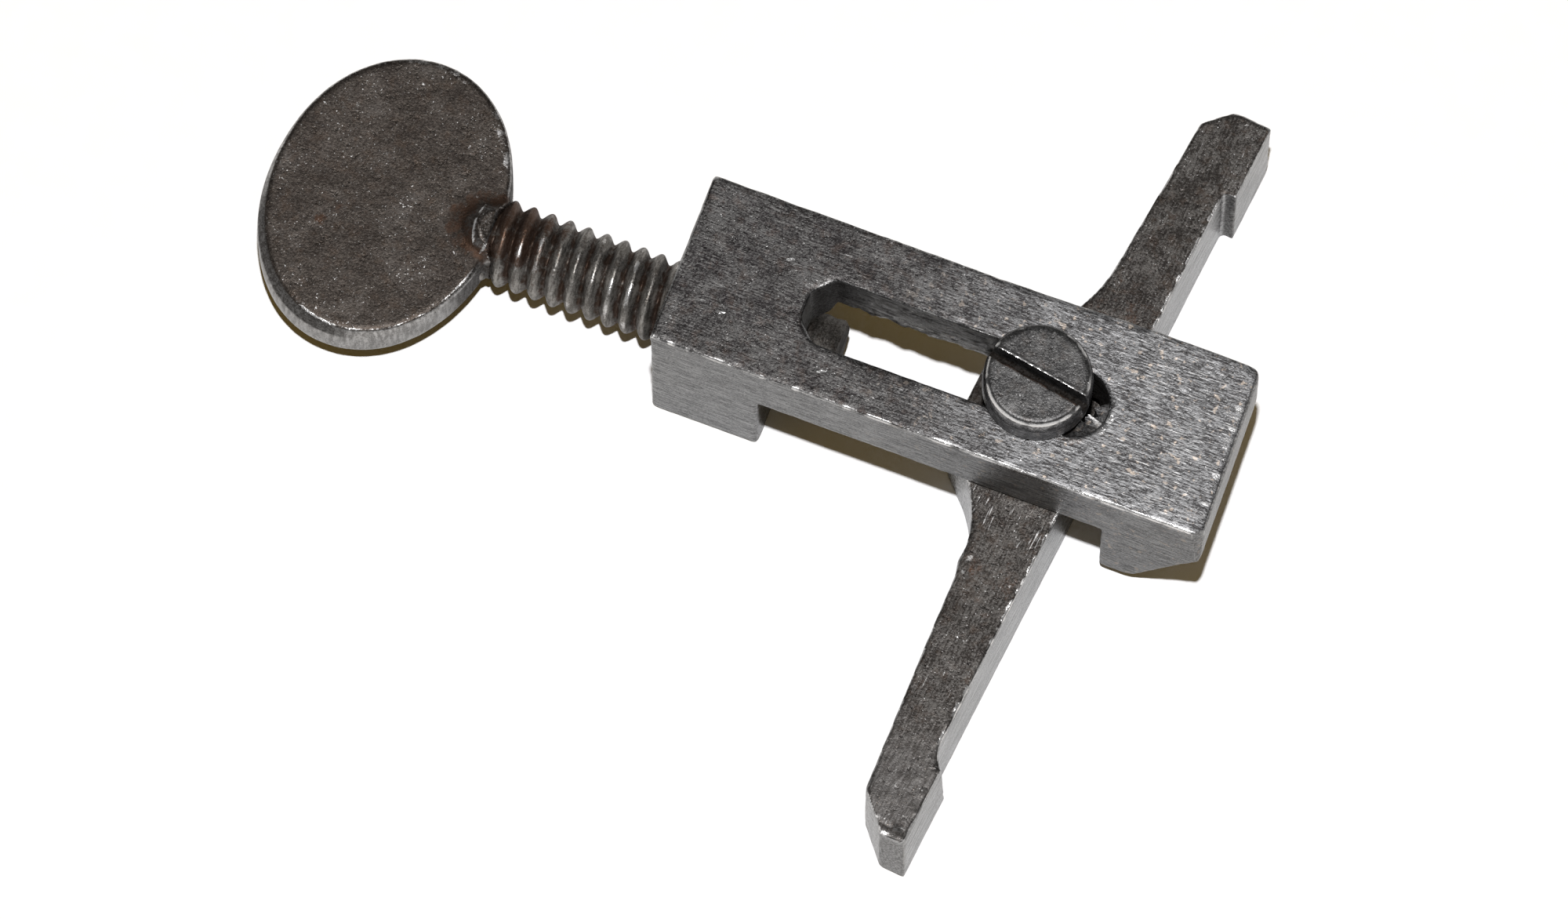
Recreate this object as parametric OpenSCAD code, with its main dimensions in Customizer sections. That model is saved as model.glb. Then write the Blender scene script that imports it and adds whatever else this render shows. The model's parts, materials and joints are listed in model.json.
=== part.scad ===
// Mainspring vise: a small screw clamp that holds a leaf spring bent while it is taken out of its lock.
// The thumbscrew pushes the crossbar along the frame's channel, towards the fixed jaw at the frame's end.
// X runs along the frame towards the fixed jaw, Y to the back and Z up. The origin is on the bench, under
// the middle of the tapped block and on the thumbscrew's axis plane.

/* [Frame] */
// Length of the frame from the screw end to the jaw end
frame_len = 45.9; // [38:0.1:70]
// Width of the frame
frame_w = 14.4; // [11:0.1:20]
// Height of the frame from the bench to its top face
frame_h = 18.4; // [16:0.1:26]
// How far the frame's walls lie behind the thumbscrew's axis plane
frame_shift = 0.3; // [0:0.05:1]
// Thickness of the slotted top plate
plate_th = 7.7; // [5:0.1:9]
// Length of the tapped block at the screw end
block_len = 9.1; // [6:0.1:14]
// Rounding of the block's lower outer edge
block_edge_r = 0.5; // [0.2:0.1:1.5]
// Rounding of the upright corners at the jaw end
corner_r = 0.7; // [0.3:0.1:2]

/* [Fixed jaw] */
// Length of the fixed jaw along the frame
jaw_len = 7.9; // [5:0.1:11]
// Height of the fixed jaw's foot above the bench
jaw_lift = 1.2; // [0.5:0.05:3]
// Length of the flat under the foot
jaw_flat = 2.9; // [1.5:0.1:4]
// Height of the upright end face above the bevel
jaw_end_h = 6.5; // [3:0.1:10]
// Rounding where the flat turns up into the bevel
jaw_toe_r = 1.6; // [0.5:0.1:3]

/* [Slot] */
// Width of the slot in the top plate
slot_w = 5.5; // [4:0.1:8]
// Solid plate between the tapped block's inner face and the slot
slot_start_gap = 1.5; // [0.5:0.05:4]
// Solid plate between the slot and the fixed jaw's inner face
slot_end_gap = 2.1; // [0.5:0.05:4]

/* [Crossbar] */
// Gap between the crossbar and the fixed jaw, on the thumbscrew's axis plane
jaw_gap = 2.8; // [1.6:0.1:8]
// Angle that the crossbar stands swivelled from square
swivel = 5.6; // [-8:0.1:8]
// Width of the hub from the pivot to its jaw face
hub_front = 5.15; // [4.4:0.1:8]
// Width of the hub from the pivot to the face that the screw pushes
hub_rear = 5.55; // [4.4:0.1:8]
// Half the length of the face that the screw pushes
hub_half = 4.4; // [3:0.1:7]
// Length of the front arm from the pivot
front_len = 35.8; // [25:0.1:50]
// Length of the back arm from the pivot
back_len = 29.9; // [25:0.1:50]
// Width of the front arm beside the hub
front_root_w = 5.6; // [4.5:0.1:8]
// Width of the back arm beside the hub
back_root_w = 5.3; // [4.5:0.1:8]
// Width of the front arm at its tip
front_tip_w = 3.7; // [3:0.1:6]
// Width of the back arm at its tip
back_tip_w = 4.25; // [3:0.05:6]
// Length over which the hub flares into the front arm
front_flare = 4.3; // [2:0.1:8]
// Length over which the hub flares into the back arm
back_flare = 5; // [2:0.1:8]
// Height of the lips at the tips
lip_h = 1; // [0.5:0.1:2]
// Length of the lip on the front arm
front_lip = 6.6; // [4:0.1:10]
// Length of the lip on the back arm
back_lip = 6.5; // [4:0.1:10]
// Bevel on the front tip's outer corner
front_bevel = 2.6; // [1:0.1:4]
// Bevel on the back tip's outer corner
back_bevel = 2.1; // [1:0.1:4]

/* [Retaining screw] */
// Diameter of the head
head_d = 8.5; // [6.5:0.1:12]
// Height of the head
head_h = 3.4; // [2:0.1:6]
// Width of the screwdriver slot
driver_w = 0.9; // [0.5:0.1:1.6]
// Depth of the screwdriver slot
driver_depth = 1.6; // [0.8:0.1:2.5]
// Diameter of the end that is screwed into the hub
tail_d = 4.4; // [3:0.1:5]
// Metal left under the end of the screw in the crossbar
tail_floor = 1.2; // [0.5:0.1:3]

/* [Thumbscrew] */
// Outer diameter of the threaded shank
shank_d = 7; // [5:0.1:8]
// Height of the thumbscrew's axis above the bench
axis_z = 5.6; // [5:0.1:6.4]
// Length of shank between the thumb plate and the frame
shank_out = 15.5; // [12:0.1:30]
// Length of shank past the tapped block's inner face
shank_reach = 4; // [1:0.1:8]
// Bevel at the tip of the shank
tip_bevel = 0.5; // [0.2:0.1:1]
// Length of the plain end let into the thumb plate
tenon_len = 5; // [3:0.1:8]

/* [Thumb plate] */
// Width of the oval plate across the screw
plate_w = 24.2; // [16:0.1:34]
// Length of the oval plate along the screw
plate_len = 19.2; // [14:0.1:30]
// Thickness of the plate
plate_t = 4.7; // [4:0.1:6]
// How far the plate stands off the screw's axis to the front
plate_off = 0.4; // [0:0.05:1]
// Angle that the plate is set askew on the screw
plate_skew = 6.5; // [-10:0.5:10]
// How far the round boss stands proud of the thread
boss_over = 0.1; // [0.05:0.05:0.5]
// How far the round boss's middle lies outside the plate, on the side of the thread
boss_shift = 0.6; // [0:0.1:1.2]
// Wall of the plate above and below the tenon
socket_wall = 0.7; // [0.5:0.05:1]

/* [Clearances] */
// Gap between the crossbar and the plate above it
bar_clear = 0.1; // [0.05:0.05:0.3]
// Gap under the retaining screw's head, and under its shoulder
seat_clear = 0.04; // [0.02:0.01:0.1]
// Gap between the retaining screw's shoulder and each side of the slot
slot_clear = 0.1; // [0.05:0.05:0.3]
// Radial clearance of the thumbscrew in the frame, the screw in the hub and the tenon in the thumb plate
fit_clear = 0.05; // [0.02:0.01:0.1]

/* [Hidden] */
$fn = 64;
// Steps in each rounded corner of an outline, and in the oval's outline
corner_steps = 10;
oval_steps = 96;
// Overshoot that lets a cut pass clean through a face and a joined piece reach into its neighbour
cut = 1;
// Share of a flaring side that its rounding takes up
flare_share = 0.62;

// The frame along X, and its walls in Y
frame_x0 = -block_len / 2;
frame_x1 = frame_x0 + frame_len;
block_x1 = frame_x0 + block_len;
jaw_x = frame_x1 - jaw_len;
frame_y0 = frame_shift - frame_w / 2;
channel_h = frame_h - plate_th;

// The slot, and the screw that slides in it
slot_x0 = block_x1 + slot_start_gap;
slot_x1 = jaw_x - slot_end_gap;
pivot_x = jaw_x - jaw_gap - hub_front / cos(swivel);
shoulder_d = slot_w - 2 * slot_clear;

// The crossbar, which stands on the bench and fills the channel's height
bar_h = channel_h - bar_clear;
lip_x = hub_front + lip_h;
front_root_x = hub_front - front_root_w;
back_root_x = hub_front - back_root_w;
front_tip_x = hub_front - front_tip_w;
back_tip_x = hub_front - back_tip_w;

// The thumbscrew along X, and the seat of its thumb plate
neck_x = frame_x0 - shank_out;
tip_x = block_x1 + shank_reach;
boss_r = shank_d / 2 + boss_over;
socket_d = plate_t - 2 * socket_wall;
tenon_d = socket_d - 2 * fit_clear;

// Outlines are lists of corners [x, y, radius], run anticlockwise
function unit(v) = v / norm(v);
function turned(v, a) = [v.x * cos(a) - v.y * sin(a), v.x * sin(a) + v.y * cos(a)];
function flat(c) = [c.x, c.y];
function half_angle(a, b, c) = acos(unit(flat(a) - flat(b)) * unit(flat(c) - flat(b))) / 2;
function corner_arc(a, b, c) =
    let (
        back = unit(flat(a) - flat(b)),
        ahead = unit(flat(c) - flat(b)),
        half = half_angle(a, b, c),
        middle = flat(b) + unit(back + ahead) * b[2] / sin(half),
        first = flat(b) + back * b[2] / tan(half) - middle,
        sweep = -sign(cross(back, ahead)) * (180 - 2 * half)
    )
    [for (k = [0:corner_steps]) middle + turned(first, sweep * k / corner_steps)];
function corner(a, b, c) = b[2] > 0 ? corner_arc(a, b, c) : [flat(b)];
function outline(list) =
    let (n = len(list))
    [for (k = [0:n - 1]) each corner(list[(k + n - 1) % n], list[k], list[(k + 1) % n])];

// Radius that rounds a flare from the hub's corner a, round b, into the arm towards c
function flare_r(a, b, c) = flare_share * norm(flat(a) - flat(b)) * tan(half_angle(a, b, c));

// Side view of the frame, with its channel and the bevelled foot of the fixed jaw
module frame_side() {
    polygon(outline([
        [frame_x0, 0, block_edge_r],
        [block_x1, 0, 0],
        [block_x1, channel_h, 0],
        [jaw_x, channel_h, 0],
        [jaw_x, jaw_lift, 0],
        [jaw_x + jaw_flat, jaw_lift, jaw_toe_r],
        [frame_x1, frame_h - jaw_end_h, 0],
        [frame_x1, frame_h, 0],
        [frame_x0, frame_h, 0],
    ]));
}

// Top view of the frame, rounded at the jaw end
module frame_top() {
    polygon(outline([
        [frame_x0, frame_y0, 0],
        [frame_x1, frame_y0, corner_r],
        [frame_x1, frame_y0 + frame_w, corner_r],
        [frame_x0, frame_y0 + frame_w, 0],
    ]));
}

// Slot with an end filed to eight flats at the screw, and a drilled round end at the jaw
module slot_outline() {
    r = slot_w / 2;
    half_flat = r * tan(22.5);
    flats_x = slot_x0 + r - half_flat;
    polygon([
        [slot_x0, half_flat],
        [slot_x0, -half_flat],
        [flats_x, -r],
        [slot_x1 - r, -r],
        [slot_x1 - r, r],
        [flats_x, r],
    ]);
    translate([slot_x1 - r, 0])
        circle(r = r);
}

module frame() {
    color("#6b6966")
        difference() {
            intersection() {
                translate([0, frame_y0 + frame_w + cut, 0])
                    rotate([90, 0, 0])
                        linear_extrude(frame_w + 2 * cut)
                            frame_side();
                translate([0, 0, -cut])
                    linear_extrude(frame_h + 2 * cut)
                        frame_top();
            }
            translate([0, 0, channel_h - cut])
                linear_extrude(plate_th + 2 * cut)
                    slot_outline();
            translate([frame_x0 - cut, 0, axis_z])
                rotate([0, 90, 0])
                    cylinder(d = shank_d + 2 * fit_clear, h = block_len + 2 * cut);
        }
}

// Top view of the crossbar, with its pivot at the origin and its jaw side towards +X
module crossbar_outline() {
    front_hub = [-hub_rear, -hub_half];
    front_root = [front_root_x, -hub_half - front_flare];
    front_tip = [front_tip_x, -front_len + front_bevel];
    back_hub = [-hub_rear, hub_half];
    back_root = [back_root_x, hub_half + back_flare];
    back_tip = [back_tip_x, back_len - back_bevel];
    polygon(outline([
        [front_tip_x + front_bevel, -front_len, 0],
        [lip_x, -front_len, 0],
        [lip_x, -front_len + front_lip, 0],
        [hub_front, -front_len + front_lip, 0],
        [hub_front, back_len - back_lip, 0],
        [lip_x, back_len - back_lip, 0],
        [lip_x, back_len, 0],
        [back_tip_x + back_bevel, back_len, 0],
        [back_tip.x, back_tip.y, 0],
        [back_root.x, back_root.y, flare_r(back_hub, back_root, back_tip)],
        [back_hub.x, back_hub.y, 0],
        [front_hub.x, front_hub.y, 0],
        [front_root.x, front_root.y, flare_r(front_hub, front_root, front_tip)],
        [front_tip.x, front_tip.y, 0],
    ]));
}

// Places what turns with the crossbar on its pivot
module at_pivot(z) {
    translate([pivot_x, 0, z])
        rotate([0, 0, -swivel])
            children();
}

module crossbar() {
    color("#4a4541")
        at_pivot(0)
            difference() {
                linear_extrude(bar_h)
                    crossbar_outline();
                translate([0, 0, tail_floor])
                    cylinder(d = tail_d + 2 * fit_clear, h = bar_h);
            }
}

module retaining_screw() {
    head_z = frame_h + seat_clear;
    shoulder_z = bar_h + seat_clear;
    tail_z = tail_floor + seat_clear;
    color("#3d3f43")
        difference() {
            union() {
                at_pivot(head_z)
                    cylinder(d = head_d, h = head_h);
                at_pivot(shoulder_z)
                    cylinder(d = shoulder_d, h = head_z - shoulder_z + cut);
                at_pivot(tail_z)
                    cylinder(d = tail_d, h = shoulder_z - tail_z + cut);
            }
            at_pivot(head_z + head_h - driver_depth)
                translate([-head_d, -driver_w / 2, 0])
                    cube([2 * head_d, driver_w, driver_depth + cut]);
        }
}

module screw_shank() {
    shank_r = shank_d / 2;
    color("#4c4742")
        translate([neck_x, 0, axis_z])
            rotate([0, 90, 0])
                rotate_extrude()
                    polygon([
                        [0, -tenon_len],
                        [tenon_d / 2, -tenon_len],
                        [tenon_d / 2, seat_clear],
                        [shank_r, seat_clear],
                        [shank_r, tip_x - neck_x - tip_bevel],
                        [shank_r - tip_bevel, tip_x - neck_x],
                        [0, tip_x - neck_x],
                    ]);
}

// Oval outline of the thumb plate
module plate_outline() {
    polygon([
        for (k = [0:oval_steps - 1])
            let (a = 360 * k / oval_steps)
            [plate_len / 2 * cos(a), plate_w / 2 * sin(a)]
    ]);
}

module thumb_plate() {
    color("#45403c")
        difference() {
            union() {
                translate([neck_x - plate_len / 2, -plate_off, axis_z - plate_t / 2])
                    rotate([0, 0, -plate_skew])
                        linear_extrude(plate_t)
                            plate_outline();
                translate([neck_x + boss_shift, 0, axis_z])
                    sphere(r = boss_r);
            }
            translate([neck_x, -plate_w, axis_z - plate_w])
                cube([plate_len, 2 * plate_w, 2 * plate_w]);
            translate([neck_x - tenon_len - seat_clear, 0, axis_z])
                rotate([0, 90, 0])
                    cylinder(d = socket_d, h = tenon_len + cut);
        }
}

frame();
crossbar();
retaining_screw();
screw_shank();
thumb_plate();
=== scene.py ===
"""A mainspring vise in worn steel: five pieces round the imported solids, as in the photograph.

Shapes are worked in millimetres and turned into metres when a piece is put in the scene.
"""

import itertools
import json
import math
from types import SimpleNamespace

import bmesh
import bpy
import numpy as np
from mathutils import Matrix, Vector


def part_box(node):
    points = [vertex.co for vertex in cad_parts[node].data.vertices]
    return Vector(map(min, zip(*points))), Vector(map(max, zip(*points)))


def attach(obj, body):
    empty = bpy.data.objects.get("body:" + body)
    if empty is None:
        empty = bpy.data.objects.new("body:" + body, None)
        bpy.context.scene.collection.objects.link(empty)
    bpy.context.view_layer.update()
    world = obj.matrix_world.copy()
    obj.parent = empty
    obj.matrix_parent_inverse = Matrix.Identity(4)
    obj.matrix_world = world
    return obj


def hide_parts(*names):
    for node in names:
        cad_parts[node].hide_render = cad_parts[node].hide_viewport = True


MM = 0.001

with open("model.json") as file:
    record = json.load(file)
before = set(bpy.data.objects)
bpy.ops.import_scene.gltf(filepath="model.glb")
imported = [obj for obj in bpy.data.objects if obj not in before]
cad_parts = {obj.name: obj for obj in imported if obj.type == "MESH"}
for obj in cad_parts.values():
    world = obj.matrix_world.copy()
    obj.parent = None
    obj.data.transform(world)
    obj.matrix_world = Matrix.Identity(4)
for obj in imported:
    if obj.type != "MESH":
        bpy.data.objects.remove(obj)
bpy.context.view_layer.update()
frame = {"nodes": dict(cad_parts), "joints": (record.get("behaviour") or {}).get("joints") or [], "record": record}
joints = {joint["name"]: joint for joint in frame["joints"]}


def box(node):
    """A solid's lowest and highest corners, in millimetres."""
    low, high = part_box(node)
    return np.array(low) / MM, np.array(high) / MM


# How a piece is remade: the size of its small faces, the distance at which a solid's points are
# one, how far it is kept above its solid's underside, and from what angle its edges are sharp.
VOXEL = {
    "frame": 0.19,
    "crossbar": 0.17,
    "retaining_screw": 0.1,
    "screw_shank": 0.12,
    "thumb_plate": 0.16,
}
WELD = 0.0005
LIFT = 0.01
ROUND, SHARP = math.radians(30), math.radians(18)

# The frame: a top plate over an open channel, with a slot that is round towards the fixed jaw.
FRAME_LOW, FRAME_HIGH = box("frame")
FRAME_END, FRAME_TOP = FRAME_HIGH[0], FRAME_HIGH[2]
FRAME_NEAR, FRAME_FAR = FRAME_LOW[1], FRAME_HIGH[1]
CHANNEL_ROOF = FRAME_TOP - 7.7
SLOT_HALF = 2.75
SLOT_LEFT = 6.05
SLOT_ROUND_X = 28.6
CORNER_R = 0.7
# Its end is out of square: from where on, how far it stands out, and how much less per millimetre
# towards the back.
END_FROM, END_OUT, END_LEAN = 36, 0.28, 0.03
FAR_SIDE_FLARE = 0.3
FACET, FACET_TAPER = 0.35, 0.065
TOP_BURR = 0.07
# The slot's far wall is filed back: how far below the top, how steeply and over what height.
FILED_FROM, FILED_SLOPE, FILED_HEIGHT = 5.6, 0.36, 2.2
TEAR = 1.1
# Single marks on top, each at x and y with its length: a nick by the slot and two scratches.
TOP_MARKS = ((9.2, -4.7, 0.8), (3.5, 3.0, 0.7), (0.1, -3.0, 0.5))
MARK_SLANT, MARK_WIDTH = 0.35, 0.2

# The crossbar, in its own axes: across (towards the fixed jaw) and along (towards the back).
PIVOT = np.array(joints["crossbar_swivel"]["pos_m"]) / MM
BAR_TURN = math.radians(5.6)
BAR_TOP = 10.6
BAR_FACE = 5.15
FRONT_TIP = -35.8
BACK_TIP = 29.9
FRONT_LIP_START = FRONT_TIP + 6.6
BACK_LIP_START = BACK_TIP - 6.5
LIP_SLOPE = 0.7
RUN_OUT, RUN_OUT_LENGTH = 0.9, 2
TIP_SPREAD, TIP_GROOVE = 0.22, 0.08
ARM_SHOULDER = -13.2
ARM_BURR = 0.06

# The retaining screw.
HEAD_LOW, HEAD_HIGH = box("retaining_screw")
HEAD_BOTTOM = FRAME_TOP + 0.04
HEAD_TOP = HEAD_HIGH[2]
HEAD_R = 4.36
SHOULDER_R, TAIL_R = 2.65, 2.2
SHOULDER_END = BAR_TOP + 0.04
LATHE_STEPS = 96
DRIVER_HALF = 0.4
DRIVER_DEPTH = 1.6
DRIVER_TURN = math.radians(-9.5)
DRIVER_BURR = 0.06
RIM_ROLL, RIM_ROLL_WIDTH = 0.4, 0.7

# The thumbscrew's rod, with a right-hand thread.
NECK = np.array(joints["thumbscrew_turn"]["pos_m"]) / MM
NECK_X, AXIS_Z = NECK[0], NECK[2]
ROD_END = box("screw_shank")[1][0]
ROD_LET_IN = 0.5
ROD_STEPS, ROD_STEP = 120, 0.09
PITCH = 1.56
CREST = 3.5
FIRST_CREST = NECK_X + 0.14
THREAD_DEPTH, THREAD_LEFT = 0.6, 0.08
CREST_POWER = 0.75
TIP_CHAMFER = 0.3

# The thumb plate: an oval set askew, with a swelling for the rod that has a leaf-shaped facet.
OVAL_X, OVAL_Y = 9.6, 12.1
OVAL_SKEW = math.radians(-6.5)
OVAL_MIDDLE = NECK_X - OVAL_X, -0.4
OVAL_STEPS = 192
PLATE_HALF = 2.35
PLATE_BOTTOM, PLATE_TOP = AXIS_Z - PLATE_HALF, AXIS_Z + PLATE_HALF
BEVEL_MOST_AT, BEVEL_POWER = math.radians(234), 1.6
SWELLING = (4.4, 3.1, 3.45)
SWELLING_FOOT, SWELLING_RUST = (4.0, 2.85), (3.6, 2.7)
RIDGE_HEIGHT, FACET_SLOPE, CREASE_SLOPE = 3.35, 0.35, 0.9
RUST_SPOTS = ((-32.8, -2.7), (-33.8, -4.0))


# Arrays of points

HASH_AXES = (73856093, 19349663, 83492791)
HASH_SEED, HASH_MIX = 2654435761, 1274126177
BITS_32, BITS_16 = 0xFFFFFFFF, 0xFFFF
CELL_OFFSET = 512  # keeps the numbers of the noise's cells above zero
LONG = 9  # a noise size for an axis along which it should hardly change


def read(items, name, width, kind=np.float32):
    """One attribute of a mesh's vertices or edges as an array."""
    values = np.empty(len(items) * width, kind)
    items.foreach_get(name, values)
    return values.reshape(-1, width)


def rise(value, low, high):
    """A smooth step from 0 at low to 1 at high."""
    share = np.clip((value - low) / (high - low), 0, 1)
    return share * share * (3 - 2 * share)


def fall(value, low, high):
    """A smooth step from 1 at low to 0 at high."""
    return rise(high - value, 0, high - low)


def band(value, middle, half, soft):
    """1 about the middle, and down to 0 at half a width away, over the last soft stretch."""
    return rise(half - np.abs(value - middle), 0, soft)


def hump(value, middle, half):
    """A smooth hump, 1 in the middle and 0 beyond half a width to either side."""
    return band(value, middle, half, half)


def hashed(cells, seed):
    """An even random number from 0 to 1 for each whole-numbered cell."""
    mixed = seed * HASH_SEED
    for column, factor in zip(cells.T, HASH_AXES):
        mixed = mixed ^ column * factor
    mixed = ((mixed ^ mixed >> 13) & BITS_32) * HASH_MIX & BITS_32
    return ((mixed ^ mixed >> 16) & BITS_16) / BITS_16


def cloud(points, size, seed):
    """Smooth noise from -1 to 1, with features of one size in millimetres or of one per axis."""
    spot = points / np.asarray(size, float) + CELL_OFFSET
    cell = np.floor(spot).astype(np.int64)
    part = spot - cell
    part = part * part * (3 - 2 * part)
    total = np.zeros(len(points))
    for corner in itertools.product((0, 1), repeat=3):
        share = np.prod(np.where(corner, part, 1 - part), axis=1)
        total += share * hashed(cell + np.array(corner), seed)
    return total * 2 - 1


class Clay:
    """A closed mesh in millimetres, worked as one array of points, with layers for its material.

    The points only move in place, so x, y, z = clay.points.T stay true while the shape is worked.
    """

    # Layers: worn metal with painted highlights and glints, dirt with painted shade, rust, scratches, and where
    # the top's patina is pale.
    LAYERS = ("wear_and_highlight", "grime_and_shade", "rust", "scratch", "pale")
    EDGE = 0.2  # a point on an edge stands out by this share of a small face
    GRAIN = 0.012

    def __init__(self, mesh, voxel):
        self.mesh = mesh
        self.voxel = voxel
        self.points = read(mesh.vertices, "co", 3).astype(float)
        ends = read(mesh.edges, "vertices", 2, np.int32)
        self.one = np.concatenate([ends[:, 0], ends[:, 1]])
        self.other = np.concatenate([ends[:, 1], ends[:, 0]])
        self.valence = np.bincount(self.one, minlength=len(self.points)).astype(float)
        self.layers = {name: np.zeros(len(self.points)) for name in self.LAYERS}

    def around(self, values):
        """The mean of a value over each point's neighbours."""
        if values.ndim == 2:
            return np.stack([self.around(column) for column in values.T], axis=1)
        return np.bincount(self.one, values[self.other], len(self.points)) / self.valence

    def smooth(self, rounds, share=1.0):
        """Even out the points, all of them or each by its own share."""
        share = np.broadcast_to(share, len(self.points))[:, None]
        for _ in range(rounds):
            self.points += share * (self.around(self.points) - self.points) / 2

    def normals(self):
        """The points' normals, after the mesh has taken the points over."""
        self.mesh.vertices.foreach_set("co", self.points.ravel())
        self.mesh.update()
        return read(self.mesh.vertices, "normal", 3).astype(float)

    def edges(self):
        """How far points stand out from their neighbours: 0 on a flat, 1 on an edge."""
        out = np.einsum("ij,ij->i", self.points - self.around(self.points), self.normals())
        out = np.clip(out / (self.EDGE * self.voxel), 0, 1)
        return np.maximum(out, self.around(out))

    def cloud(self, size, seed):
        """Smooth noise at each point, from -1 to 1."""
        return cloud(self.points, size, seed)

    def patchy(self, base, swing, size, seed, least=0.0, most=1.0):
        """A value that changes in patches, by up to swing either way, kept from least to most."""
        return np.clip(base + swing * self.cloud(size, seed), least, most)

    def push(self, amount):
        """Move each point outwards along its normal."""
        self.points += self.normals() * np.asarray(amount)[:, None]

    def mark(self, layer, amount):
        """Raise a layer to at least that amount."""
        self.layers[layer] = np.maximum(self.layers[layer], amount)

    def age(self, seed, waves=0.03, nicks=0.12, rubbed_and_highlit=0.5):
        """Hand-filed waviness, small dents, and nicked and rubbed edges."""
        edge = self.edges()
        nick = self.patchy(-0.15, 1, 1.5, seed) + 0.5 * self.patchy(0, 1, 0.5, seed + 1)
        dents = waves * self.cloud(5, seed + 2) + self.GRAIN * self.cloud(0.6, seed + 3)
        self.push(dents - nicks * nick * edge)
        self.mark("wear_and_highlight", edge * self.patchy(rubbed_and_highlit, 0.6, 2.2, seed + 4))


# Meshes and pieces


def from_bmesh(shape):
    """A new mesh from a bmesh, which is freed."""
    bmesh.ops.recalc_face_normals(shape, faces=shape.faces)
    mesh = bpy.data.meshes.new("shape")
    shape.to_mesh(mesh)
    shape.free()
    return mesh


def solid_mesh(node):
    """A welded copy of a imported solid's mesh, in millimetres."""
    shape = bmesh.new()
    shape.from_mesh(frame["nodes"][node].data)
    bmesh.ops.scale(shape, vec=(1 / MM,) * 3, verts=shape.verts)
    bmesh.ops.remove_doubles(shape, verts=shape.verts, dist=WELD)
    return from_bmesh(shape)


def with_modifier(mesh, kind, **values):
    """The mesh after one modifier."""
    holder = bpy.data.objects.new("holder", mesh)
    bpy.context.scene.collection.objects.link(holder)
    modifier = holder.modifiers.new(kind.lower(), kind)
    for name, value in values.items():
        setattr(modifier, name, value)
    graph = bpy.context.evaluated_depsgraph_get()
    made = bpy.data.meshes.new_from_object(holder.evaluated_get(graph))
    bpy.data.objects.remove(holder)
    return made


def clay(mesh, voxel):
    """The mesh remade of even small faces, ready to be worked."""
    return Clay(with_modifier(mesh, "REMESH", mode="VOXEL", voxel_size=voxel), voxel)


def place(name, worked, node, material, sharp=ROUND):
    """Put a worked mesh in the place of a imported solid, with edges sharp from an angle on."""
    worked.points[:, 2] = np.maximum(worked.points[:, 2], box(node)[0][2] + LIFT)
    worked.normals()
    mesh = worked.mesh
    mesh.transform(Matrix.Scale(MM, 4))
    for layer, amounts in worked.layers.items():
        attribute = mesh.attributes.new(layer, "FLOAT", "POINT")
        attribute.data.foreach_set("value", np.clip(amounts, 0, 1))
    mesh.shade_smooth()
    mesh.set_sharp_from_angle(angle=sharp)
    mesh.materials.clear()
    mesh.materials.append(material)
    piece = bpy.data.objects.new(name, mesh)
    bpy.context.scene.collection.objects.link(piece)
    bodies = frame["record"]["behaviour"]["bodies"]
    body = next(body for body, nodes in bodies.items() if node in nodes)
    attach(piece, body)
    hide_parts(node)
    return piece


def bridge(shape, rings):
    """Faces between rings of as many points each, one ring after another."""
    for near, far in zip(rings, rings[1:]):
        for k in range(len(near)):
            shape.faces.new((near[k], near[k - 1], far[k - 1], far[k]))


def lathe(profile):
    """A closed solid turned round Z from (radius, height) points, with both ends on the axis."""
    shape = bmesh.new()
    turns = [2 * math.pi * k / LATHE_STEPS for k in range(LATHE_STEPS)]
    rings = []
    for radius, height in profile:
        rings.append([
            shape.verts.new((radius * math.cos(a), radius * math.sin(a), height))
            for a in (turns if radius else [0])
        ])
    for lower, upper in zip(rings, rings[1:]):
        for k in range(LATHE_STEPS):
            steps = (lower, k), (lower, k + 1), (upper, k + 1), (upper, k)
            corners = [ring[step % len(ring)] for ring, step in steps]
            shape.faces.new(list(dict.fromkeys(corners)))
    return from_bmesh(shape)


# Materials


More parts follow.
